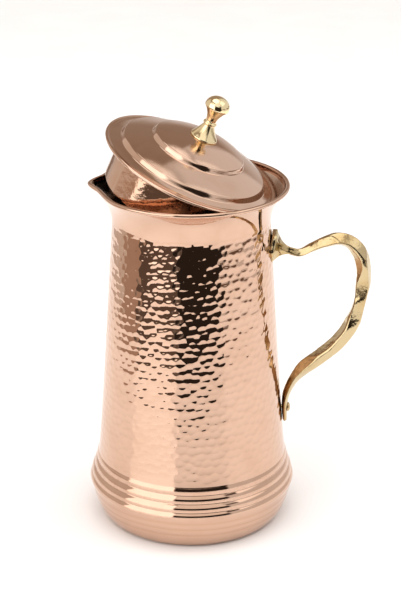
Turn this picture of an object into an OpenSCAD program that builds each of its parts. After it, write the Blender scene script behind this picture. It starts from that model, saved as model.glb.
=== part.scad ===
// Hammered copper water jug. A spun copper body with a ridged base, a flared mouth and a
// pinched pouring lip carries a cast brass handle. Its stepped copper lid, with a plain
// collar and a brass knob, lies tilted in the mouth.
// Origin: centre of the standing ring. +Z is up, the spout points to -X, the handle to +X.

/* [Body] */
// Height of the centre of the rolled rim
rim_z = 224; // [220:1:228]
// Radius to the centre of the rolled rim
rim_r = 60; // [59.5:0.5:61]
// Radius of the rolled rim's bead
bead_r = 1.4; // [1.2:0.1:1.6]
// Outer radius of the neck, where the flare starts
neck_r = 49.8; // [49.6:0.1:50.4]
// Height where the flare starts
flare_z = 200; // [197:1:201]
// Outer radius where the wall meets the ridged base
waist_r = 61; // [59:0.5:62]
// Height where the wall meets the ridged base
waist_z = 44; // [40:1:46]
// Outer radius of the lowest ridge
base_r = 66; // [64:0.5:68]
// Height of the bottom of the lowest ridge
base_z = 23; // [20:1:26]
// Outer radius of the standing ring
foot_r = 54; // [50:1:56]
// Thickness of the copper sheet
sheet = 1; // [0.8:0.1:1.1]

/* [Spout] */
// How far the tip of the lip reaches from the jug's axis
lip_reach = 64.6; // [63:0.2:66]
// Half the width of the lip where it leaves the rim
lip_half_w = 9.5; // [8:0.5:11]
// Height where the lip starts to leave the flare
lip_z = 203.5; // [202:0.5:208]

/* [Handle] */
// Height of the middle of the upper flange
flange_z = 183.5; // [182:0.5:185]
// Radius of the upper flange where it meets the wall
flange_r = 11.5; // [9:0.5:13]
// Height of the rivet through the tail
rivet_z = 73; // [70:1:76]
// Half the width of the grip across its broad side
grip_half_w = 5.6; // [4.6:0.2:6.6]

/* [Lid] */
// Radius to the centre of the brim's rolled edge
brim_r = 56; // [54:0.5:56]
// Outer radius of the collar
collar_r = 47.2; // [45:0.2:47.2]
// Depth of the collar below the brim
collar_depth = 26; // [18:1:26]
// Height of the dome's top above the brim
dome_h = 19.8; // [17:0.2:21]
// Thickness of the lid's sheet
lid_sheet = 0.9; // [0.7:0.1:1]
// Lean of the lid as it lies in the mouth, in degrees
lid_tilt = 23.5; // [23.5:0.5:24]
// Direction in which the knob leans, in degrees from the handle's side
lid_lean = -13; // [-14:1:-12]

/* [Knob] */
// Radius of the knob's skirt
skirt_r = 9; // [8:0.5:10]
// Radius of the knob's head
head_r = 7.8; // [6:0.2:9]
// Height of the knob
knob_h = 28; // [26:1:32]

/* [Hidden] */
$fn = 96;

copper = [0.86, 0.58, 0.45];
brass = [0.84, 0.69, 0.40];
steel = [0.70, 0.70, 0.72];
tin = [0.66, 0.67, 0.68];

// Steps along each curved stretch of an outline
steps = 8;

// Base: ridges, and the recess inside the standing ring
ridge_count = 4;
ridge_bulge = 0.8;
recess_r = 47;
recess_h = 2;

// Spout: lean of the lip's cone away from the jug's axis
lip_lean = 10;
lip_overlap = 4;

// Handle: the grip's middle in the plane y = 0 as [x, z], its half thickness in that plane
// and its half width across, as a share of grip_half_w
grip = [
    [[55, 183], 2.5, 0.45],
    [[61, 181.5], 2.5, 0.45],
    [[68.5, 180], 3.1, 0.6],
    [[76, 183.3], 3.1, 0.75],
    [[84, 187.2], 3.5, 0.9],
    [[92.5, 189.2], 4.1, 1],
    [[100, 187.3], 4.4, 1],
    [[105.5, 181], 4.6, 1],
    [[108.6, 171], 4.7, 1],
    [[108.6, 158], 4.7, 1],
    [[106, 143], 4.7, 1],
    [[101, 130], 4.6, 1],
    [[93, 118.5], 4.5, 0.95],
    [[82.5, 109], 4.5, 0.9],
    [[72, 100.5], 4.2, 0.9],
    [[65, 91.5], 3.1, 0.95],
    [[61.2, 82], 2.4, 1],
    [[60.3, 73], 1.9, 1.05],
    [[60.7, 64], 1.5, 0.75]];
grip_sides = 12;
flange_len = 11;
flange_dip = 11;
flange_neck_r = 2.6;

// Gap left between two pieces that are drawn up against each other
snug = 0.05;

// Fasteners
screw_r = 2;
screw_hole_r = 2.05;
screw_reach = 6.5;
screw_head_r = 4;
screw_head_h = 2.4;
washer_r = 8;
washer_t = 1;
rivet_r = 1.5;
rivet_hole_r = 1.55;
rivet_head_r = 3;
rivet_head_h = 1.8;
rivet_peen_r = 2.4;
rivet_peen_h = 1.1;
burr_r = 4.5;
head_gap = 0.35;
// Flat seat for the rivet's head on the outer face of the tail
rivet_seat_x = 62.3;
rivet_seat_r = 3.3;

// Lid: [radius, height] in the lid's own frame, with the brim at height 0
edge_r = 0.9;
outer_step = [[48.6, 2.2], [45.6, 5.2]];
inner_step = [[31.4, 11.2], [28.8, 13.8]];
// The collar's lapped seam
seam_azimuth = 212;
seam_width = 9;
seam_lap = 0.3;
solder_leg = 1.8;
// Middle of the brim as the lid lies in the mouth
lid_place = [0, 0, 237.2];

// Knob
skirt_edge_h = 0.9;
ring_r = 4.3;
ring_h = 10.2;
knob_neck_r = 3;
head_at = 22.4;
knob_bore_h = 12;

// Points on a curve from a to c that is pulled towards b, without the first point
function curve(a, b, c, n = steps) =
    [for (i = [1:n]) let (t = i / n) (1 - t) ^ 2 * a + 2 * t * (1 - t) * b + t ^ 2 * c];

// Points on a smooth step from a to c, level at both ends, without the first point
function ogee(a, c, n = steps) =
    [for (i = [1:n]) let (t = i / n)
        [a.x + (c.x - a.x) * t, a.y + (c.y - a.y) * (1 - cos(180 * t)) / 2]];

// Points on a circle from angle a0 to angle a1
function arc(centre, r, a0, a1, n = steps) =
    [for (i = [0:n]) let (a = a0 + (a1 - a0) * i / n) centre + r * [cos(a), sin(a)]];

function unit(v) = v / norm(v);

// A line moved sideways by d, to the left of its direction
function shifted(line, d) =
    [for (i = [0:len(line) - 1])
        let (a = line[max(i - 1, 0)], b = line[min(i + 1, len(line) - 1)], t = unit(b - a))
        line[i] + d * [-t.y, t.x]];

function reversed(line) = [for (i = [len(line) - 1:-1:0]) line[i]];

// Body: the outside below the flare, from the standing ring up
function ridges() =
    [for (i = [1:ridge_count * steps])
        let (t = i / (ridge_count * steps))
        [base_r + (waist_r - base_r) * (1 - cos(180 * t)) / 2
             + ridge_bulge * abs(sin(180 * t * ridge_count)),
         base_z + (waist_z - base_z) * t]];
flare_start = [neck_r + 0.25, flare_z];
lower_line = concat(
    [[foot_r, 0]],
    curve([foot_r, 0], [foot_r + 7, 0], [base_r, base_z]),
    ridges(),
    curve([waist_r, waist_z], [waist_r - 2, waist_z + 14], flare_start, 12));

// Body: the outside of the flare, from the neck to just under the bead
flare_line =
    curve(flare_start, [neck_r - 0.5, flare_z + 11.5], [rim_r - 0.3, rim_z - bead_r + 0.2], 10);
outside_line = concat(lower_line, flare_line);
inside_line = shifted(outside_line, sheet);
rim_centre = [rim_r, rim_z];
crest_flat = 0.05;

function wall_r(z) = lookup(z, [for (p = outside_line) [p.y, p.x]]);

// The jug as if it were solid, with the outer half of the rolled rim
module outer_form() rotate_extrude() polygon(concat(
    [[0, recess_h], [recess_r - 1, recess_h], [recess_r, 0]],
    outside_line,
    arc(rim_centre, bead_r, -60, 90),
    [[0, rim_z + bead_r]]));

// The space inside the jug, up past the inner half of the rolled rim
module inner_form() rotate_extrude() polygon(concat(
    [[0, recess_h + sheet], [recess_r, recess_h + sheet], [foot_r - 2, sheet]],
    [for (i = [2:len(inside_line) - 2]) inside_line[i]],
    reversed(arc(rim_centre, bead_r, 95, 150)),
    [[rim_r - crest_flat, 2 * rim_z], [0, 2 * rim_z]]));

// A cone for the pouring lip, drawn in by inset, and its rolled edge
lip_h = (rim_z - lip_z) / cos(lip_lean);
module lip_place() translate([lip_half_w - lip_reach + 1, 0, rim_z])
    rotate([0, -lip_lean, 0]) children();
module lip_cone(inset, past) lip_place()
    translate([0, 0, -lip_h])
        cylinder(r1 = 0.01, r2 = lip_half_w * (1 + past / lip_h) - inset, h = lip_h + past);
module lip_bead() lip_place()
    rotate_extrude() translate([lip_half_w - sheet / 2, 0]) circle(bead_r, $fn = 32);

// Skin over rings of m points each, and its two end faces
function skin_faces(rings, m) = concat(
    [for (i = [0:rings - 2], j = [0:m - 1])
        let (a = i * m + j, b = i * m + (j + 1) % m)
        each [[a, b, b + m], [a, b + m, a + m]]],
    [[for (j = [m - 1:-1:0]) j], [for (j = [0:m - 1]) (rings - 1) * m + j]]);

// Children turned so that their Z axis runs out along +X at height z
module along_x(z) translate([0, 0, z]) rotate([0, 90, 0]) children();

// Everything inside the wall's outline below the flare, pushed out by grow
module solid_jug(grow) {
    line = shifted(lower_line, -grow);
    rotate_extrude() polygon(concat([[0, 0]], line, [[0, flare_z]]));
}

// A round washer of radius r against the inside of the wall at height z
module inner_washer(z, r, hole_r) difference() {
    intersection() {
        along_x(z) cylinder(r = r, h = base_r);
        solid_jug(-sheet - snug);
    }
    solid_jug(-sheet - snug - washer_t);
    along_x(z) cylinder(r = hole_r, h = base_r);
}

module body_shell() color(copper) difference() {
    union() {
        outer_form();
        lip_cone(0, 0);
        lip_bead();
    }
    inner_form();
    lip_cone(sheet, lip_overlap);
    along_x(flange_z) cylinder(r = screw_hole_r, h = base_r);
    along_x(rivet_z) cylinder(r = rivet_hole_r, h = base_r);
}

// The swept grip, with an oval section square to its middle line
module grip_sweep() {
    line = [for (g = grip) g[0]];
    points = [for (i = [0:len(grip) - 1])
        let (a = line[max(i - 1, 0)], b = line[min(i + 1, len(grip) - 1)], t = unit(b - a),
             side = [-t.y, t.x] * grip[i][1], half_w = grip_half_w * grip[i][2])
        for (j = [0:grip_sides - 1])
            let (turn = 360 * j / grip_sides, p = line[i] + side * cos(turn))
            [p.x, half_w * sin(turn), p.y]];
    polyhedron(points, skin_faces(len(grip), grip_sides));
}

// The trumpet-shaped upper flange, sunk a little into the wall
module flange() {
    sink = 3;
    translate([wall_r(flange_z), 0, flange_z])
        rotate([0, 90 + flange_dip, 0])
            rotate_extrude() polygon(concat(
                [[0, -sink], [flange_r, -sink], [flange_r, 0.8]],
                curve([flange_r, 0.8], [4.4, 5], [flange_neck_r, flange_len]),
                [[0, flange_len]]));
}

module handle() color(brass) difference() {
    union() {
        grip_sweep();
        flange();
    }
    solid_jug(snug);
    along_x(flange_z) cylinder(r = screw_hole_r, h = wall_r(flange_z) + screw_reach);
    along_x(rivet_z) {
        cylinder(r = rivet_hole_r, h = 2 * base_r);
        translate([0, 0, rivet_seat_x]) cylinder(r = rivet_seat_r, h = base_r);
    }
}

// Pan-headed screw from the inside of the wall into the flange
module handle_screw() color(steel) {
    under_head = wall_r(flange_z) - sheet - washer_t - head_gap;
    along_x(flange_z) {
        translate([0, 0, under_head])
            cylinder(r = screw_r, h = wall_r(flange_z) + screw_reach - 0.5 - under_head);
        translate([0, 0, under_head - screw_head_h])
            cylinder(r = screw_head_r, h = screw_head_h);
    }
}

module handle_washer() color(brass) inner_washer(flange_z, washer_r, screw_hole_r);

// Rivet through the tail and the wall: a domed head outside, a peened end inside
module tail_rivet() color(brass) {
    inner_end = wall_r(rivet_z) - sheet - washer_t - head_gap;
    outer_end = rivet_seat_x + snug;
    along_x(rivet_z) rotate_extrude() polygon(concat(
        [[0, inner_end - rivet_peen_h]],
        dome_line(rivet_peen_r, inner_end, -rivet_peen_h),
        [[rivet_r, inner_end], [rivet_r, outer_end]],
        reversed(dome_line(rivet_head_r, outer_end, rivet_head_h)),
        [[0, outer_end + rivet_head_h]]));
}

module tail_burr() color(copper) inner_washer(rivet_z, burr_r, rivet_hole_r);

// Quarter of an oval from the axis to radius r, with its foot at height z and its top h away
function dome_line(r, z, h) = [for (a = [90 - 90 / steps:-90 / steps:0]) [r * cos(a), z + h * sin(a)]];

// Lid: children moved from the lid's own frame to where the lid lies
module lid_pose() translate(lid_place)
    rotate([0, 0, lid_lean]) rotate([0, lid_tilt, 0]) rotate([0, 0, -lid_lean]) children();

// The dome's upper side, from the brim in to the flat under the knob
lid_line = concat(
    [[brim_r, edge_r], outer_step[0]],
    ogee(outer_step[0], outer_step[1]),
    curve(outer_step[1], [38.5, 9.6], inner_step[0]),
    ogee(inner_step[0], inner_step[1]),
    curve(inner_step[1], [19, dome_h - 1], [skirt_r + 1, dome_h]),
    [[screw_hole_r, dome_h]]);
lid_under_line = shifted(lid_line, lid_sheet);
under_top = dome_h - lid_sheet;

module lid_dome() color(copper) lid_pose() rotate_extrude() polygon(concat(
    lid_line,
    [[screw_hole_r, under_top]],
    reversed([for (i = [2:len(lid_under_line) - 2]) lid_under_line[i]]),
    [[brim_r - 2, 0.3]],
    arc([brim_r, 0], edge_r, -160, 80)));

// Space below the dome, for what is soldered up against it
module under_dome() rotate_extrude() polygon(concat(
    [[brim_r - 4, -2 * collar_depth], [brim_r - 4, lid_line[1].y - lid_sheet - snug]],
    [for (i = [2:len(lid_under_line) - 2]) lid_under_line[i] - [0, snug]],
    [[0, under_top - snug], [0, -2 * collar_depth]]));

// A ring between two radii and two heights
module ring(r_in, r_out, z_low, z_high, angle = 360)
    rotate_extrude(angle = angle)
        polygon([[r_in, z_low], [r_out, z_low], [r_out, z_high], [r_in, z_high]]);

// The collar: a strip bent round and lapped at one seam
module collar_strip() intersection() {
    union() {
        ring(collar_r - lid_sheet, collar_r, -collar_depth, outer_step[1].y);
        rotate(seam_azimuth)
            ring(collar_r - lid_sheet / 2, collar_r + seam_lap, -collar_depth,
                 outer_step[1].y, seam_width);
    }
    under_dome();
}

module lid_collar() color(copper) lid_pose() collar_strip();

// Fillet of solder in the inside corner between the collar and the dome
module collar_solder() color(tin) lid_pose() intersection() {
    corner = collar_r - lid_sheet - snug;
    top = outer_step[1].y;
    rotate_extrude() polygon([
        [corner, top - 2 * solder_leg], [corner, top], [corner - solder_leg, top],
        [corner - solder_leg, top - 0.8 * solder_leg]]);
    under_dome();
}

// Knob: skirt, ring, neck and mushroom head, bored from below for its screw
module knob() color(brass) lid_pose() translate([0, 0, dome_h + snug]) rotate_extrude()
    polygon(concat(
        [[screw_hole_r, 0], [skirt_r, 0], [skirt_r, skirt_edge_h]],
        curve([skirt_r, skirt_edge_h], [4.6, 5], [3.4, ring_h - 0.9], 6),
        arc([ring_r - 0.9, ring_h], 0.9, -80, 80, 6),
        [[knob_neck_r, ring_h + 1.2]],
        curve([knob_neck_r, ring_h + 1.2], [knob_neck_r, head_at - 6], [head_r - 0.4, head_at - 1]),
        [[head_r, head_at]],
        [for (a = [90 / steps:90 / steps:90])
            [head_r * cos(a), head_at + (knob_h - head_at) * sin(a)]],
        [[0, knob_bore_h], [screw_hole_r, knob_bore_h - 1]]));

// Pan-headed screw from under the dome into the knob
module knob_screw() color(steel) lid_pose() {
    under_head = under_top - washer_t - 2 * snug;
    translate([0, 0, under_head]) cylinder(r = screw_r, h = dome_h + knob_bore_h - 2 - under_head);
    translate([0, 0, under_head - screw_head_h]) cylinder(r = screw_head_r, h = screw_head_h);
}

module knob_washer() color(brass) lid_pose()
    ring(screw_hole_r, washer_r, under_top - washer_t - snug, under_top - snug);

body_shell();
handle();
handle_screw();
handle_washer();
tail_rivet();
tail_burr();
lid_dome();
lid_collar();
collar_solder();
knob();
knob_screw();
knob_washer();
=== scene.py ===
"""Looks of a hammered copper water jug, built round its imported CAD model.

Sizes are in the jug's own millimetres: origin at the middle of the standing ring, +Z up, the
spout at -X and the handle at +X. UNIT turns them into the frame's metres. A profile is a line of
[radius, height] points.
"""

import math

import bpy
import numpy as np
from mathutils import Matrix, Vector


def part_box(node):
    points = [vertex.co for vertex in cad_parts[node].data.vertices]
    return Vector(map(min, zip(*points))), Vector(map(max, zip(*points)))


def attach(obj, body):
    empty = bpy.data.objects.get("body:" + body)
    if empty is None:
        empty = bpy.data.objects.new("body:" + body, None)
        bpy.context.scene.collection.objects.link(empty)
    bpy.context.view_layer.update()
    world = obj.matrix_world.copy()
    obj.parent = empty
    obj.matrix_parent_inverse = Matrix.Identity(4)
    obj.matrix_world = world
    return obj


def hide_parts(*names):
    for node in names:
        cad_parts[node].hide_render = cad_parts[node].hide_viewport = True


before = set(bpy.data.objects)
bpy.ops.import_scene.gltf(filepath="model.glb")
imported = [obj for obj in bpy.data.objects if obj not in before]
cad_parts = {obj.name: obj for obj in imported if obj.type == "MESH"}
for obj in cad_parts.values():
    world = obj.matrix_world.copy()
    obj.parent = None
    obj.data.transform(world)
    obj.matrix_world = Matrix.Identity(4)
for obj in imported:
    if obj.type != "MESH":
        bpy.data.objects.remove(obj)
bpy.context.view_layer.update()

# Driving sizes, and the metres in the frame that one of their millimetres takes
RIM_TOP = 225.4
BEAD_R = 1.4
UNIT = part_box("body_shell")[1].z / RIM_TOP
RIM_R, RIM_Z = 60.0, RIM_TOP - BEAD_R
SHEET = 1.0
FLARE_Z = 200.0
WAIST_R, WAIST_Z = 61.0, 44.0
BASE_R, BASE_Z = 66.0, 23.0
FOOT_R = 54.0
RECESS_R, RECESS_H = 47.0, 2.0

RNG = np.random.default_rng(12)


# ---------------------------------------------------------------------------- outlines
def curve(a, b, c, n):
    """Points on a curve from a to c that is pulled towards b, without the first point."""
    t = np.arange(1, n + 1)[:, None] / n
    a, b, c = (np.array(p, float) for p in (a, b, c))
    return (1 - t) ** 2 * a + 2 * t * (1 - t) * b + t ** 2 * c


def ogee(a, c, n):
    """Points on a smooth step from a to c, level at both ends, without the first point."""
    t = np.arange(1, n + 1) / n
    rise = (1 - np.cos(np.pi * t)) / 2
    return np.stack([a[0] + (c[0] - a[0]) * t, a[1] + (c[1] - a[1]) * rise], 1)


def arc(centre, radius, start, end, n):
    """Points on a circle from one angle to another, in degrees."""
    a = np.radians(np.linspace(start, end, n))
    return np.array(centre) + radius * np.stack([np.cos(a), np.sin(a)], 1)


def line(a, b, n):
    """Points from a to b, without the first point."""
    t = np.arange(1, n + 1)[:, None] / n
    return np.array(a, float) * (1 - t) + np.array(b, float) * t


def normals_2d(points):
    """Unit normals to the right of a line's direction, which is outwards on a wall that rises."""
    along = np.gradient(points, axis=0)
    along /= np.linalg.norm(along, axis=1)[:, None]
    return np.stack([along[:, 1], -along[:, 0]], 1)


# ---------------------------------------------------------------------------- meshes
def grid_piece(name, grid, material, body, node, marks=None):
    """A closed mesh over grid[row, column], whose columns go round, with flat end caps. It
    replaces a CAD node, and marks, where given, are a number at each point for its material."""
    rows, columns = grid.shape[:2]
    index = np.arange(rows * columns).reshape(rows, columns)
    right = np.roll(index, -1, axis=1)
    quads = np.stack([index[:-1], right[:-1], right[1:], index[1:]], -1).reshape(-1, 4)
    faces = quads.tolist() + [index[0, ::-1].tolist(), index[-1].tolist()]
    mesh = bpy.data.meshes.new(name)
    mesh.from_pydata((grid.reshape(-1, 3) * UNIT).tolist(), [], faces)
    mesh.polygons.foreach_set("use_smooth", [True] * (len(faces) - 2) + [False] * 2)
    if marks is not None:
        mesh.attributes.new("marks", "FLOAT", "POINT").data.foreach_set("value", marks.ravel())
    mesh.materials.append(material)
    piece = bpy.data.objects.new(name, mesh)
    bpy.context.collection.objects.link(piece)
    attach(piece, body)
    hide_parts(node)
    return piece


def revolved(profile, columns):
    """The grid that a profile makes when it is turned round Z."""
    a = np.arange(columns) * 2 * np.pi / columns
    r, z = profile[:, 0, None], profile[:, 1, None]
    return np.stack([r * np.cos(a), r * np.sin(a), z + 0 * a], -1)


# ---------------------------------------------------------------------------- materials
class Nodes:
    """Short calls for building a node tree."""

    def __init__(self, tree):
        self.tree = tree
        tree.nodes.clear()

    def add(self, kind, settings=None, **inputs):
        """A node of a kind. Its inputs go by number, as i0, or by name, as Base_Color."""
        node = self.tree.nodes.new(kind)
        for key, value in (settings or {}).items():
            setattr(node, key, value)
        for key, value in inputs.items():
            by_number = key[1:].isdigit()
            socket = node.inputs[int(key[1:]) if by_number else key.replace("_", " ")]
            if isinstance(value, bpy.types.NodeSocket):
                self.tree.links.new(value, socket)
            else:
                socket.default_value = value
        return node

    def math(self, operation, a, b=0.0):
        return self.add("ShaderNodeMath", {"operation": operation}, i0=a, i1=b).outputs[0]

    def ramp(self, value, low, high, to_low=0.0, to_high=1.0):
        """Smooth step of value from low to high."""
        return self.add("ShaderNodeMapRange", {"interpolation_type": "SMOOTHSTEP"}, Value=value,
                        From_Min=low, From_Max=high, To_Min=to_low, To_Max=to_high).outputs[0]

    def mix(self, share, a, b):
        node = self.add("ShaderNodeMix", {"data_type": "RGBA"}, i0=share, i6=a, i7=b)
        return node.outputs[2]

    def noise(self, place, scale, detail=3.0, rough=0.5):
        return self.add("ShaderNodeTexNoise", None, Vector=place, Scale=scale, Detail=detail,
                        Roughness=rough).outputs[0]

    def marks(self):
        """The number that a piece's mesh carries at each point."""
        return self.add("ShaderNodeAttribute", {"attribute_name": "marks"}).outputs["Fac"]


# Stain and smear on every metal: scale of the noise, and where in it they begin and are full
STAIN_SCALE, STAIN_FROM, STAIN_FULL = 38.0, 0.42, 0.75
SMEAR_SCALE, SMEAR_FROM, SMEAR_FULL = 160.0, 0.35, 0.8
STAIN_BETWEEN_MARKS = 0.4              # the most random stain where the hammer marks carry painted shade
LUMP_HEIGHT, GRAIN_HEIGHT = 0.001, 0.0002      # metres, at full bump strength


def metal(name, colours, roughness, lumps, grain, rings=None, marks=False):
    """Polished metal: colours are (base, stain), roughness is (least, most), and lumps and grain
    are (scale per metre, bump strength). With marks, the mesh's marks are painted shade, drawn in
    the stain colour.
    With rings, they are millimetres along the profile, and rings is (radians of a turned line's
    wave in each of them, bump strength)."""
    material = bpy.data.materials.new(name)
    material.use_nodes = True
    n = Nodes(material.node_tree)
    place = n.add("ShaderNodeTexCoord").outputs["Object"]
    stain = n.ramp(n.noise(place, STAIN_SCALE, 5.0, 0.6), STAIN_FROM, STAIN_FULL, 0.0,
                   STAIN_BETWEEN_MARKS if marks else 1.0)
    smear = n.ramp(n.noise(place, SMEAR_SCALE, 4.0, 0.65), SMEAR_FROM, SMEAR_FULL)
    if marks:
        # On the hammered metal, the mesh's marks add painted shade in the stain colour
        stain = n.math("MAXIMUM", stain, n.marks())
    colour = n.mix(stain, (*colours[0], 1), (*colours[1], 1))
    rough = n.ramp(smear, 0.0, 1.0, *roughness)
    bump = n.add("ShaderNodeBump", None, Strength=lumps[1], Distance=LUMP_HEIGHT,
                 Height=n.noise(place, lumps[0], 2.0))
    bump = n.add("ShaderNodeBump", None, Strength=grain[1], Distance=GRAIN_HEIGHT,
                 Height=n.noise(place, grain[0], 4.0, 0.7), Normal=bump.outputs[0])
    if rings:
        lines = n.math("SINE", n.math("MULTIPLY", n.marks(), rings[0]))
        bump = n.add("ShaderNodeBump", None, Strength=rings[1], Distance=GRAIN_HEIGHT,
                     Height=lines, Normal=bump.outputs[0])
    shader = n.add("ShaderNodeBsdfPrincipled", None, Base_Color=colour, Roughness=rough,
                   Metallic=1.0, Normal=bump.outputs[0])
    out = n.add("ShaderNodeOutputMaterial")
    n.tree.links.new(shader.outputs[0], out.inputs[0])
    return material


COPPER = (0.66, 0.445, 0.33)
COPPER_STAIN_AND_SHADE = (0.54, 0.33, 0.22)
BRASS = (0.60, 0.48, 0.28)
hammered_copper = metal("hammered_copper", (COPPER, COPPER_STAIN_AND_SHADE), (0.02, 0.05),
                        (260.0, 0.02), (2600.0, 0.01), marks=True)
spun_copper = metal("spun_copper", ((0.72, 0.50, 0.38), (0.66, 0.44, 0.32)), (0.045, 0.09),
                    (140.0, 0.04), (2200.0, 0.04), rings=(9.0, 0.04))
dull_copper = metal("dull_copper", ((0.60, 0.47, 0.38), (0.50, 0.37, 0.29)), (0.22, 0.34),
                    (150.0, 0.06), (2000.0, 0.06))
strip_copper = metal("strip_copper", (COPPER, (0.64, 0.40, 0.27)), (0.06, 0.14),
                     (240.0, 0.14), (1800.0, 0.05))
cast_brass = metal("cast_brass", (BRASS, (0.50, 0.35, 0.16)), (0.10, 0.22),
                   (420.0, 0.16), (1500.0, 0.08))
turned_brass = metal("turned_brass", ((0.92, 0.77, 0.48), (0.86, 0.68, 0.38)), (0.05, 0.10),
                     (220.0, 0.05), (1900.0, 0.03), rings=(8.0, 0.06))
plain_steel = metal("plain_steel", ((0.62, 0.62, 0.64), (0.45, 0.45, 0.47)), (0.22, 0.38),
                    (500.0, 0.05), (3000.0, 0.08))
grey_solder = metal("grey_solder", ((0.55, 0.56, 0.57), (0.36, 0.35, 0.34)), (0.35, 0.6),
                    (600.0, 0.5), (2500.0, 0.3))


# ---------------------------------------------------------------------------- body outline
COLUMNS = 480
MARK_ROWS = 0.48       # height of a row of the mesh where the wall is hammered
NECK_R = 50.05
FOOT_PULL, WALL_PULL, FLARE_PULL = (FOOT_R + 7, 0), (59, 58), (49.3, 211.5)
FLARE_END = (59.7, 222.8)
BEAD_FROM, BEAD_TO = -62, 205          # degrees of the rim's bead that stand out of the sheet
RIDGES, RIDGE_BULGE, RIDGE_ROWS = 4, 0.85, 56
CAP_R = 4.0            # radius of the flat caps in the middle of the bottom and the floor
RING_LIFT = 0.15       # how far the standing ring's inner edge is off the table
FLOOR_R, FLOOR_Z = 46.0, RECESS_H + SHEET
BELOW_BEAD, ABOVE_FLOOR = 1.5, 0.4     # room at the ends of the wall's inside


def ridge_line():
    t = np.linspace(0, 1, RIDGE_ROWS + 1)[1:]
    r = BASE_R + (WAIST_R - BASE_R) * (1 - np.cos(np.pi * t)) / 2
    return np.stack([r + RIDGE_BULGE * np.abs(np.sin(np.pi * t * RIDGES)),
                     BASE_Z + (WAIST_Z - BASE_Z) * t], 1)


def outside_line():
    """The wall's outside from the standing ring to the rim's bead."""
    neck = (NECK_R, FLARE_Z)
    foot = curve((FOOT_R, 0), FOOT_PULL, (BASE_R, BASE_Z), 70)
    wall_rows = round((FLARE_Z - WAIST_Z) / MARK_ROWS)
    wall = curve((WAIST_R, WAIST_Z), WALL_PULL, neck, wall_rows)
    flare = curve(neck, FLARE_PULL, FLARE_END, 40)
    return np.vstack([[(FOOT_R, 0)], foot, ridge_line(), wall, flare])


def under_line():
    """The bottom from its middle out to the standing ring."""
    middle = (CAP_R, RECESS_H)
    recess_top, recess_foot = (RECESS_R - 1, RECESS_H), (RECESS_R, RING_LIFT)
    return np.vstack([[middle], line(middle, recess_top, 8), line(recess_top, recess_foot, 4),
                      line(recess_foot, (FOOT_R - 1, 0), 3)])


def inside_line(outer):
    """The inside from the rim down the wall and along the floor to its middle."""
    wall = (outer - SHEET * normals_2d(outer))[::4][::-1]
    wall = wall[(wall[:, 1] < RIM_Z - BELOW_BEAD) & (wall[:, 1] > FLOOR_Z + ABOVE_FLOOR)]
    corner = (FLOOR_R, FLOOR_Z)
    return np.vstack([wall, line(wall[-1], corner, 6), line(corner, (CAP_R, FLOOR_Z), 10)])


# ---------------------------------------------------------------------------- hammer marks
TURNED_LINES = (20.2, 15.4, 10.6)
LINE_DEPTH, LINE_HALF_W = 0.30, 0.42
HAMMER_LOW, HAMMER_HIGH = 46.0, 203.0
FADE_LOW, FADE_HIGH = 2.0, 1.5         # height in which the marks fade out at either end
MARKS_PER_TURN = 62.5
MARK_PITCH = 4.7       # height between turns of the row of marks
MARK_HALF_W = 3.5
MARK_UPPER_H, MARK_LOWER_H = 3.3, 2.6
MARK_DEPTH = 0.27
DEPTH_AT_FOOT = 0.4    # share of the depth that the lowest marks have
# How single marks differ: normal spreads, the usual lean, and even ranges of size and depth
HEIGHT_SPREAD, TURN_SPREAD = 0.8, 0.15
LEAN, LEAN_SPREAD = 0.12, 0.05
SIZE_RANGE, DEPTH_RANGE = (0.82, 1.14), (0.85, 1.15)
ROW_REACH, COLUMN_REACH = 1.3, 1.15    # how far a mark is pressed in, in mark sizes
# Painted shade on the lines between marks: its strength, sharpness and least change of depth
CREASE_SHADE, CREASE_SHARPNESS, CREASE_CHANGE = 0.3, 3, 0.02


def turned_grooves(z):
    grooves = sum(np.exp(-((z - at) / LINE_HALF_W) ** 2) for at in TURNED_LINES)
    return LINE_DEPTH * grooves


def press_mark(depth, z, r, height, turn, size, lean, deep):
    """Press one mark, whose upper half is the taller, into the wall's map of depth."""
    rows = np.where(np.abs(z - height) < ROW_REACH * MARK_UPPER_H)[0]
    radius = r[rows].mean()
    reach = COLUMN_REACH * MARK_HALF_W / radius
    first = math.floor((turn - reach) * COLUMNS / (2 * np.pi))
    last = math.ceil((turn + reach) * COLUMNS / (2 * np.pi))
    columns = np.arange(first, last + 1)
    across = (columns * 2 * np.pi / COLUMNS - turn) * radius
    up = (z[rows] - height)[:, None] - lean * across
    half_h = np.where(up > 0, MARK_UPPER_H, MARK_LOWER_H)
    dent = 1 - (across / MARK_HALF_W / size) ** 2 - (up / half_h / size) ** 2
    patch = np.ix_(rows, columns % COLUMNS)
    depth[patch] = np.maximum(depth[patch], deep * dent)


def hammer_marks(z, r):
    """How deep the hammered wall is dented, for rows at heights z and radii r. The marks lie in
    one row that winds up the wall."""
    depth = np.zeros((len(z), COLUMNS))
    turns = (HAMMER_HIGH - HAMMER_LOW) / MARK_PITCH
    for k in range(round(turns * MARKS_PER_TURN)):
        height = HAMMER_LOW + MARK_PITCH * k / MARKS_PER_TURN + RNG.normal(0, HEIGHT_SPREAD)
        turn = 2 * np.pi * (k + RNG.normal(0, TURN_SPREAD)) / MARKS_PER_TURN
        size = RNG.uniform(*SIZE_RANGE)
        lean = RNG.normal(LEAN, LEAN_SPREAD)
        up_wall = (height - HAMMER_LOW) / (HAMMER_HIGH - HAMMER_LOW)
        share = DEPTH_AT_FOOT + (1 - DEPTH_AT_FOOT) * up_wall
        deep = MARK_DEPTH * RNG.uniform(*DEPTH_RANGE) * share
        press_mark(depth, z, r, height, turn, size, lean, deep)
    low_fade = np.clip((z - HAMMER_LOW + FADE_LOW / 2) / FADE_LOW, 0, 1)
    high_fade = np.clip((HAMMER_HIGH - z) / FADE_HIGH, 0, 1)
    return depth * (high_fade * low_fade)[:, None]


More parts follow.
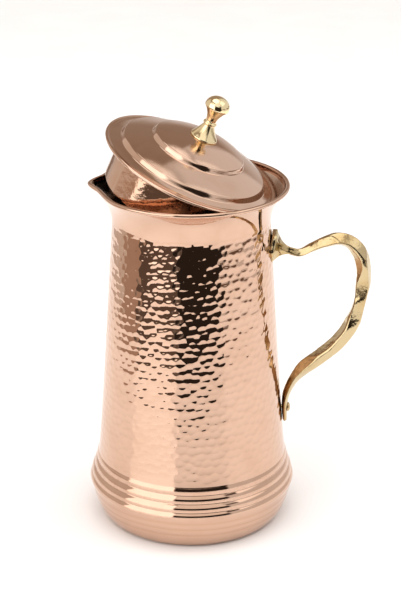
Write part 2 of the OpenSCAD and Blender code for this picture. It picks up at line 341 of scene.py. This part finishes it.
def crease_shade(dents):
    """Painted shade on the lines between marks: shallow places beside a change of depth."""
    change = np.abs(dents - np.roll(dents, 2, 0)) + np.abs(dents - np.roll(dents, -2, 0))
    shallow = np.clip(1 - dents / MARK_DEPTH * CREASE_SHARPNESS, 0, 1)
    return shallow * (change > CREASE_CHANGE) * CREASE_SHADE


# ---------------------------------------------------------------------------- body
# The pouring lip in millimetres and degrees of turn: how far it stands out and its half width,
# and how far its shoulders are pinched in, where, and their half width
LIP_OUT, LIP_HALF = 3.4, 16
PINCH_IN, PINCH_AT, PINCH_HALF = 2.6, 22, 26


def lobe(off, half):
    """A smooth bump that is 1 in its middle and 0 from half outwards."""
    return np.where(np.abs(off) < half, (1 + np.cos(np.pi * off / half)) / 2, 0)


def lip_push(angle, z):
    """How far the rim stands out at the pouring lip, and in at its pinched shoulders."""
    off = np.degrees(np.abs((angle % (2 * np.pi)) - np.pi))
    push = LIP_OUT * lobe(off, LIP_HALF) - PINCH_IN * lobe(off - PINCH_AT, PINCH_HALF)
    fade = np.clip((z - FLARE_Z) / (RIM_Z - FLARE_Z), 0, 1) ** 2
    return push * fade[:, None]


def dented(profile, dents):
    """The body's grid, with its dents pressed in square to its wall and its lip drawn out."""
    angle = np.arange(COLUMNS) * 2 * np.pi / COLUMNS
    outwards = np.stack([np.cos(angle), np.sin(angle), 0 * angle], 1)[None]
    way = normals_2d(profile)
    push = lip_push(angle, profile[:, 1]) - dents * way[:, 0, None]
    grid = revolved(profile, COLUMNS) + push[..., None] * outwards
    grid[..., 2] -= dents * way[:, 1, None]
    return grid


def body():
    under, outer = under_line(), outside_line()
    bead = arc((RIM_R, RIM_Z), BEAD_R, BEAD_FROM, BEAD_TO, 26)
    profile = np.vstack([under, outer, bead, inside_line(outer)])
    wall = slice(len(under), len(under) + len(outer))
    grooves = turned_grooves(outer[:, 1])[:, None]
    dents = np.zeros((len(profile), COLUMNS))
    dents[wall] = hammer_marks(outer[:, 1], outer[:, 0]) + grooves
    # Painted shade in the stain colour: on the lines between marks, and full in the turned
    # grooves
    painted_shade = crease_shade(dents)
    painted_shade[wall] += grooves / LINE_DEPTH
    piece = grid_piece("jug_body", dented(profile, dents), hammered_copper, "jug",
                       "body_shell", painted_shade)
    piece.data.materials.append(dull_copper)
    inside_from = (wall.stop + len(bead)) * COLUMNS
    slots = np.zeros(len(piece.data.polygons), np.int32)
    slots[inside_from:-2] = 1
    slots[-1] = 1
    piece.data.polygons.foreach_set("material_index", slots)


# ---------------------------------------------------------------------------- handle
# The grip's middle in the plane y = 0 as [x, z], its half thickness and its half width
GRIP = [
    ((61.8, 181.4), 2.6, 2.7), ((68.5, 180.0), 3.1, 3.4), ((76.0, 183.3), 3.3, 4.2),
    ((84.0, 187.2), 3.7, 5.0), ((92.5, 189.2), 4.3, 5.6), ((100.0, 187.3), 4.6, 5.6),
    ((105.5, 181.0), 4.7, 5.6), ((108.6, 171.0), 4.8, 5.6), ((108.6, 158.0), 4.8, 5.6),
    ((106.0, 143.0), 4.8, 5.6), ((101.0, 130.0), 4.7, 5.6), ((93.0, 118.5), 4.6, 5.3),
    ((82.5, 109.0), 4.6, 5.0), ((72.0, 100.5), 4.3, 5.0), ((65.0, 91.5), 3.1, 5.3),
    ((61.3, 82.0), 2.4, 5.6), ((60.4, 73.0), 1.9, 5.8), ((60.7, 64.5), 1.4, 4.0)]
GRIP_SIDES = 64
# The flange's height, radius and length, and its way off the wall as [x, z]
FLANGE_Z, FLANGE_R, FLANGE_LEN = 183.5, 11.5, 11.0
FLANGE_DIP = math.radians(-11.0)
FLANGE_WAY = (math.cos(FLANGE_DIP), math.sin(FLANGE_DIP))
FLANGE_LUMPS = 0.035   # share of its radius
WALL_BITE = 0.12       # how far the handle may sink below the wall's outline
# Facets: millimetres between them, share of the grip's size that a flat keeps in its middle, and
# how fast it runs out along the grip
FACET_SPACING, FACET_FLAT, FACET_SOFT = 19.0, 0.78, 0.0016
STRANDS, STRAND_STEP = 4, 0.37         # rows of facets, and the step from one to the next
TWIST = 0.85           # degrees the facets turn round the grip for each millimetre
PLACE_SPREAD, FLAT_SPREAD, FACING_SPREAD = 1.6, 0.02, 9
UNCARVED = 1.06        # size of the grip between its facets
# Lengths over which the facets fade in from the flange and out at the tail, and the share of
# them that the flange's end starts with
FLANGE_FADE, TAIL_FADE, LEAST_CARVED = 14, 30, 0.35


def smooth_through(values, n):
    """A Catmull-Rom line through rows of values, with n points to each stretch."""
    v = np.vstack([2 * values[0] - values[1], values, 2 * values[-1] - values[-2]])
    t = (np.arange(n) / n)[:, None]
    out = []
    for a, b, c, d in zip(v, v[1:], v[2:], v[3:]):
        out.append(0.5 * (2 * b + (c - a) * t + (2 * a - 5 * b + 4 * c - d) * t ** 2
                          + (3 * b - a - 3 * c + d) * t ** 3))
    return np.vstack([*out, values[-1:]])


def wall_radius(z):
    outer = outside_line()
    return np.interp(z, outer[:, 1], outer[:, 0])


def carved(length, turn):
    """Share of its full size that the grip keeps where it is faceted."""
    keep = np.full(np.broadcast(length, turn).shape, UNCARVED)
    for strand in range(STRANDS):
        starts = np.arange(-4, length.max() + FACET_SPACING, FACET_SPACING)
        for at in starts + FACET_SPACING * (STRAND_STEP * strand % 1):
            at += RNG.normal(0, PLACE_SPREAD)
            flat = FACET_FLAT + RNG.normal(0, FLAT_SPREAD)
            facing = 360 / STRANDS * strand + TWIST * at + RNG.normal(0, FACING_SPREAD)
            off = np.radians((turn - facing + 180) % 360 - 180)
            limit = flat / np.maximum(np.cos(off), 0.2) + FACET_SOFT * (length - at) ** 2
            keep = np.minimum(keep, limit)
    return keep


def handle_size(length, turn):
    """Share of its full size that the handle keeps: faceted along the grip, lumpy at its flange,
    and plain at its tail."""
    share = (np.clip((length[-1] - length) / TAIL_FADE, 0, 1)
             * np.clip(length / FLANGE_FADE, LEAST_CARVED, 1))
    keep = 1 + (carved(length[:, None], turn[None]) - 1) * share[:, None]
    a = np.radians(turn)
    lumps = FLANGE_LUMPS * (np.sin(3 * a + 1) + 0.7 * np.sin(7 * a))
    return keep + lumps * np.clip(1.4 - length / FLANGE_LEN, 0, 1)[:, None]


def flange_rows():
    """The trumpet-shaped flange as rows of [x, z, half thickness, half width]."""
    wall_x = float(wall_radius(FLANGE_Z))
    plate_h = 0.8
    profile = np.vstack([[(FLANGE_R - 0.3, -2.0), (FLANGE_R, -1.0), (FLANGE_R, plate_h)],
                         curve((FLANGE_R, plate_h), (4.2, 4.2), (2.9, FLANGE_LEN - 1), 14)])
    return [(wall_x + h * FLANGE_WAY[0], FLANGE_Z + h * FLANGE_WAY[1], r, r)
            for r, h in profile]


def handle():
    flange = flange_rows()
    grip = smooth_through(np.array([(*p, thick, wide) for p, thick, wide in GRIP]), 10)
    rows = np.vstack([flange, grip])
    middle = rows[:, :2]
    along = np.gradient(middle, axis=0)
    along[:len(flange)] = FLANGE_WAY
    along /= np.linalg.norm(along, axis=1)[:, None]
    length = np.r_[0, np.cumsum(np.linalg.norm(np.diff(middle, axis=0), axis=1))]
    turn = np.arange(GRIP_SIDES) * 360 / GRIP_SIDES
    keep = handle_size(length, turn)
    side = rows[:, 2, None] * np.cos(np.radians(turn)) * keep
    across = rows[:, 3, None] * np.sin(np.radians(turn)) * keep
    x = middle[:, 0, None] - along[:, 1, None] * side
    z = middle[:, 1, None] + along[:, 0, None] * side
    grid = np.stack([x, across, z], -1)
    reach = np.hypot(grid[..., 0], grid[..., 1])
    clear = np.maximum(wall_radius(grid[..., 2]) - WALL_BITE, reach) / reach
    grid[..., :2] *= clear[..., None]
    grid_piece("jug_handle", grid[:, ::-1], cast_brass, "jug", "handle")


def tail_rivet():
    """A round head outside the tail, a shank through it, and a peened end inside the wall."""
    low, high = (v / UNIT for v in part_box("tail_rivet"))
    centre_z = (low.z + high.z) / 2
    head_r, head_h, edge_h = 3.1, 1.65, 0.2
    foot_x = high.x - 1.9
    head = np.vstack([[(head_r - 0.1, 0), (head_r, edge_h)],
                      [(head_r * math.cos(a), edge_h + head_h * math.sin(a))
                       for a in np.radians(np.linspace(6, 86, 14))]])
    peen = [(0.3, -8.6), (2.3, -8.2), (2.4, -7.6), (1.5, -7.5), (1.5, 0)]
    grid = revolved(np.vstack([peen, head]), 48)
    grid = np.stack([foot_x + grid[..., 2], grid[..., 1], centre_z - grid[..., 0]], -1)
    grid_piece("tail_rivet_head", grid, cast_brass, "jug", "tail_rivet")


# ---------------------------------------------------------------------------- lid
BRIM_R, EDGE_R, LID_SHEET = 56.0, 0.9, 0.9
COLLAR_R, COLLAR_TOP, COLLAR_DEPTH = 47.2, 2.4, 26.0
DOME_H = 19.8
KNOB_HOLE_R = 2.2
LID_TILT, LID_LEAN = math.radians(23.5), math.radians(-13)
LID_COLUMNS, KNOB_COLUMNS = 288, 96
# The collar's lapped seam: where it is, its step, and in radians its edge, width and run-out
SEAM_AT, LAP_STEP = math.radians(212), 0.3
LAP_EDGE, LAP_TURN, LAP_RUN_OUT = 0.012, 0.2, 0.19
LID_AXIS = Vector((math.sin(LID_TILT) * math.cos(LID_LEAN),
                   math.sin(LID_TILT) * math.sin(LID_LEAN), math.cos(LID_TILT)))
LID_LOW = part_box("lid_dome")[0] / UNIT
LID_CENTRE = np.array([LID_LOW[i] + BRIM_R * math.sqrt(1 - LID_AXIS[i] ** 2) + EDGE_R
                       for i in range(3)])
LID_TURN = np.array(Matrix.Rotation(LID_LEAN, 3, "Z") @ Matrix.Rotation(LID_TILT, 3, "Y")
                    @ Matrix.Rotation(-LID_LEAN, 3, "Z"))


def on_lid(grid):
    """A grid in the lid's own frame, moved to where the lid lies."""
    return grid @ LID_TURN.T + LID_CENTRE


def travelled(profile, columns):
    """How far along its profile each point lies, which the turned lines follow."""
    steps = np.linalg.norm(np.diff(profile, axis=0), axis=1)
    return np.repeat(np.r_[0, np.cumsum(steps)][:, None], columns, 1)


def lid_top_line():
    """The lid's upper side from the brim's edge in to the knob."""
    brim, knob_foot = (53.6, 0.95), (10, DOME_H)
    outer_foot, outer_top = (48.4, 2.2), (45.8, 5.8)
    inner_foot, inner_top = (31.0, 10.9), (28.6, 14.3)
    return np.vstack([
        [brim],
        curve(brim, (51.5, 0.9), outer_foot, 12),
        ogee(outer_foot, outer_top, 22),
        curve(outer_top, (39.5, 8.6), inner_foot, 40),
        ogee(inner_foot, inner_top, 22),
        curve(inner_top, (20, DOME_H - 1.4), knob_foot, 40),
        line(knob_foot, (KNOB_HOLE_R, DOME_H), 4)])


def lid_dome():
    top = lid_top_line()
    under = (top - LID_SHEET * normals_2d(top))[::3][::-1]
    rolled_edge = arc((BRIM_R - 0.1, -0.05), EDGE_R + 0.1, -150, 120, 26)
    groove = [(54.6, 0.86), (54.2, 0.70), (53.9, 0.80)]
    profile = np.vstack([under, rolled_edge, groove, top])
    grid = revolved(profile, LID_COLUMNS)
    grid_piece("lid_top", on_lid(grid), spun_copper, "lid", "lid_dome",
               travelled(profile, LID_COLUMNS))


def lid_collar():
    """A bent strip: not quite round, with one lapped seam."""
    outer, inner = COLLAR_R, COLLAR_R - LID_SHEET
    edge_r = LID_SHEET / 2
    straight_to = 0.4 - COLLAR_DEPTH
    profile = np.vstack([[(inner, COLLAR_TOP)],
                         line((inner, COLLAR_TOP), (inner, straight_to), 40),
                         arc((COLLAR_R - edge_r, edge_r - COLLAR_DEPTH), edge_r, 180, 360, 9),
                         line((outer, straight_to), (outer, COLLAR_TOP), 40)])
    grid = revolved(profile, LID_COLUMNS)
    angle = np.arange(LID_COLUMNS) * 2 * np.pi / LID_COLUMNS
    off = (angle - SEAM_AT + np.pi) % (2 * np.pi) - np.pi
    lap = LAP_STEP * np.clip(off / LAP_EDGE, 0, 1) * np.clip((LAP_TURN - off) / LAP_RUN_OUT, 0, 1)
    flex = 0.10 * np.sin(5 * angle + 1) + 0.06 * np.sin(11 * angle) - 0.06
    scale = 1 + (lap + flex)[None] / COLLAR_R
    grid[..., :2] *= scale[..., None]
    grid_piece("lid_collar_strip", on_lid(grid), strip_copper, "lid",
               "lid_collar")


def knob():
    """A turned knob: a spreading skirt, a ring, a thin neck and a mushroom head."""
    skirt_r, head_r, height, head_at = 8.6, 7.8, 28.2, 21.7
    ring_r, ring_h, bead_r, neck_r = 4.3, 10.2, 0.85, 3.3
    cap_foot = (head_r - 0.5, head_at - 1.2)
    crown = [(head_r * math.cos(a), head_at + (height - head_at) * math.sin(a))
             for a in np.radians(np.linspace(4, 88, 22))]
    profile = np.vstack([
        [(KNOB_HOLE_R, 0.05), (skirt_r - 0.2, 0.05), (skirt_r, 0.25), (skirt_r, 0.8)],
        curve((skirt_r - 0.15, 1.0), (5.5, 4.5), (3.5, ring_h - 1.0), 22),
        arc((ring_r - bead_r, ring_h), bead_r, -80, 80, 12),
        curve((neck_r, ring_h + 1.1), (neck_r, head_at - 6), cap_foot, 24),
        curve(cap_foot, (head_r, head_at - 0.6), (head_r, head_at), 5),
        crown])
    profile[:, 1] += DOME_H
    grid = revolved(profile, KNOB_COLUMNS)
    grid_piece("lid_knob", on_lid(grid), turned_brass, "lid", "knob",
               travelled(profile, KNOB_COLUMNS))


# ---------------------------------------------------------------------------- CAD nodes kept
KEPT = {"handle_screw": plain_steel, "knob_screw": plain_steel, "handle_washer": cast_brass,
        "knob_washer": turned_brass, "tail_burr": strip_copper, "collar_solder": grey_solder}


def finish_kept_nodes():
    for node, material in KEPT.items():
        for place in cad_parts[node].material_slots:
            place.material = material


# ---------------------------------------------------------------------------- studio
CAMERA_TURN = 2.5      # degrees from the plane x = 0, seen from above
CAMERA_AWAY, CAMERA_UP = 1099.0, 589.0
CAMERA_YAW, CAMERA_DOWN = 0.30, 21.94
LENS, SENSOR = 111.4, 36


def camera():
    turn = math.radians(CAMERA_TURN)
    heading = math.radians(90 - CAMERA_YAW + CAMERA_TURN)
    down = math.radians(CAMERA_DOWN)
    forward = Vector((math.cos(heading) * math.cos(down), math.sin(heading) * math.cos(down),
                      -math.sin(down)))
    data = bpy.data.cameras.new("camera")
    data.lens = LENS
    data.sensor_width = SENSOR
    view = bpy.data.objects.new("camera", data)
    view.location = Vector((CAMERA_AWAY * math.sin(turn), -CAMERA_AWAY * math.cos(turn),
                            CAMERA_UP)) * UNIT
    view.rotation_euler = forward.to_track_quat("-Z", "Y").to_euler()
    bpy.context.collection.objects.link(view)
    bpy.context.scene.camera = view


# What the metal mirrors: panels round the jug as (first and last direction, lowest and highest
# angle above the horizon, fade, colour), each laid over the ones before it. Angles are in
# degrees, and directions run from the camera's side towards +X.
ROOM = (0.36, 0.28, 0.225)
PANELS = [
    (-180, 180, -90, 12, 10, (0.66, 0.60, 0.56)),
    (42, 150, -90, 62, 4, (0.82, 0.79, 0.77)),
    (58, 112, 30, 62, 3, (1.5, 1.46, 1.42)),
    (42, 58, 33, 41, 2, (0.14, 0.10, 0.08)),
    (42, 150, -9, -3, 0.8, (0.18, 0.115, 0.085)),
    (-140, -77, -90, 50, 4, (0.76, 0.68, 0.62)),
    (-108, -77, -90, -1, 2, (0.52, 0.38, 0.30)),
    (-165, -150, -90, 6, 2, (0.30, 0.22, 0.175)),
    (-77, -20, -90, -6.2, 1, (0.14, 0.105, 0.085)),
    (-77, -20, -6.2, 50, 1, (2.0, 1.95, 1.9)),
    (-20, 42, 26, 70, 4, (1.1, 1.05, 1.0)),
    (-20, 42, -90, 26, 3, (0.03, 0.024, 0.02)),
    (-180, 180, 66, 96, 3, (1.9, 1.86, 1.82)),
]
SIDE_FADE = 2.0
BACKGROUND = (1.0, 1.0, 1.0)
BELOW_ONE = 0.999999   # keeps a cosine within what ARCCOSINE takes


def studio():
    """The world: a white background to the camera, and the panels to everything else."""
    world = bpy.data.worlds.new("studio")
    world.use_nodes = True
    bpy.context.scene.world = world
    n = Nodes(world.node_tree)
    way = n.add("ShaderNodeTexCoord").outputs["Generated"]
    x, y, z = n.add("ShaderNodeSeparateXYZ", None, Vector=way).outputs
    camera_side = math.radians(CAMERA_TURN - 90)
    turned = n.math("SUBTRACT", n.math("ARCTAN2", y, x), camera_side)
    up = n.math("DEGREES", n.math("ARCSINE", z))
    colour = (*ROOM, 1)
    for first, last, low, high, fade, tone in PANELS:
        middle, half = math.radians((first + last) / 2), (last - first) / 2
        off = n.math("COSINE", n.math("SUBTRACT", turned, middle))
        off = n.math("DEGREES", n.math("ARCCOSINE", n.math("MULTIPLY", off, BELOW_ONE)))
        within = n.ramp(off, half - SIDE_FADE, half + SIDE_FADE, 1.0, 0.0)
        above = n.ramp(up, low - fade, low + fade)
        below = n.ramp(up, high - fade, high + fade, 1.0, 0.0)
        share = n.math("MULTIPLY", within, n.math("MULTIPLY", above, below))
        colour = n.mix(share, colour, (*tone, 1))
    seen = n.add("ShaderNodeLightPath").outputs["Is Camera Ray"]
    colour = n.mix(seen, colour, (*BACKGROUND, 1))
    shade = n.add("ShaderNodeBackground", None, Color=colour)
    out = n.add("ShaderNodeOutputWorld")
    n.tree.links.new(shade.outputs[0], out.inputs[0])


# The table's edges. Below the horizon, the metal mirrors the panels beyond them.
TABLE_NEAR, TABLE_LEFT, TABLE_RIGHT, TABLE_FAR = -480.0, -440.0, 760.0, 2000.0
TABLE_TONE, TABLE_CLOUD = (0.92, 0.915, 0.92), (0.94, 0.935, 0.94)
TABLE_ROUGH = (0.20, 0.26)
TABLE_SPECULAR = 0.4


def table():
    """A pale table with a soft gloss."""
    corners = [(TABLE_LEFT, TABLE_NEAR), (TABLE_RIGHT, TABLE_NEAR), (TABLE_RIGHT, TABLE_FAR),
               (TABLE_LEFT, TABLE_FAR)]
    mesh = bpy.data.meshes.new("table")
    mesh.from_pydata([(x * UNIT, y * UNIT, 0) for x, y in corners], [], [(0, 1, 2, 3)])
    material = bpy.data.materials.new("table")
    material.use_nodes = True
    n = Nodes(material.node_tree)
    place = n.add("ShaderNodeTexCoord").outputs["Object"]
    colour = n.mix(n.noise(place, 30.0), (*TABLE_TONE, 1), (*TABLE_CLOUD, 1))
    rough = n.ramp(n.noise(place, 12.0), 0.3, 0.7, *TABLE_ROUGH)
    shader = n.add("ShaderNodeBsdfPrincipled", None, Base_Color=colour, Roughness=rough,
                   Specular_IOR_Level=TABLE_SPECULAR)
    out = n.add("ShaderNodeOutputMaterial")
    n.tree.links.new(shader.outputs[0], out.inputs[0])
    mesh.materials.append(material)
    top = bpy.data.objects.new("table", mesh)
    bpy.context.collection.objects.link(top)


LIGHT_SIZE, LIGHT_UP = 3.0, 1.5        # metres
LIGHT_POWER = 22                       # watts


def overhead_light():
    """A wide soft light that lights the table, and that the metal doesn't mirror."""
    data = bpy.data.lights.new("overhead", "AREA")
    data.shape = "DISK"
    data.size = LIGHT_SIZE
    data.energy = LIGHT_POWER
    light = bpy.data.objects.new("overhead", data)
    light.location = (0, 0, LIGHT_UP)
    light.visible_glossy = False
    light.visible_camera = False
    bpy.context.collection.objects.link(light)


# ---------------------------------------------------------------------------- build
body()
handle()
tail_rivet()
lid_dome()
lid_collar()
knob()
finish_kept_nodes()
camera()
studio()
table()
overhead_light()
bpy.context.scene.view_settings.view_transform = "Standard"
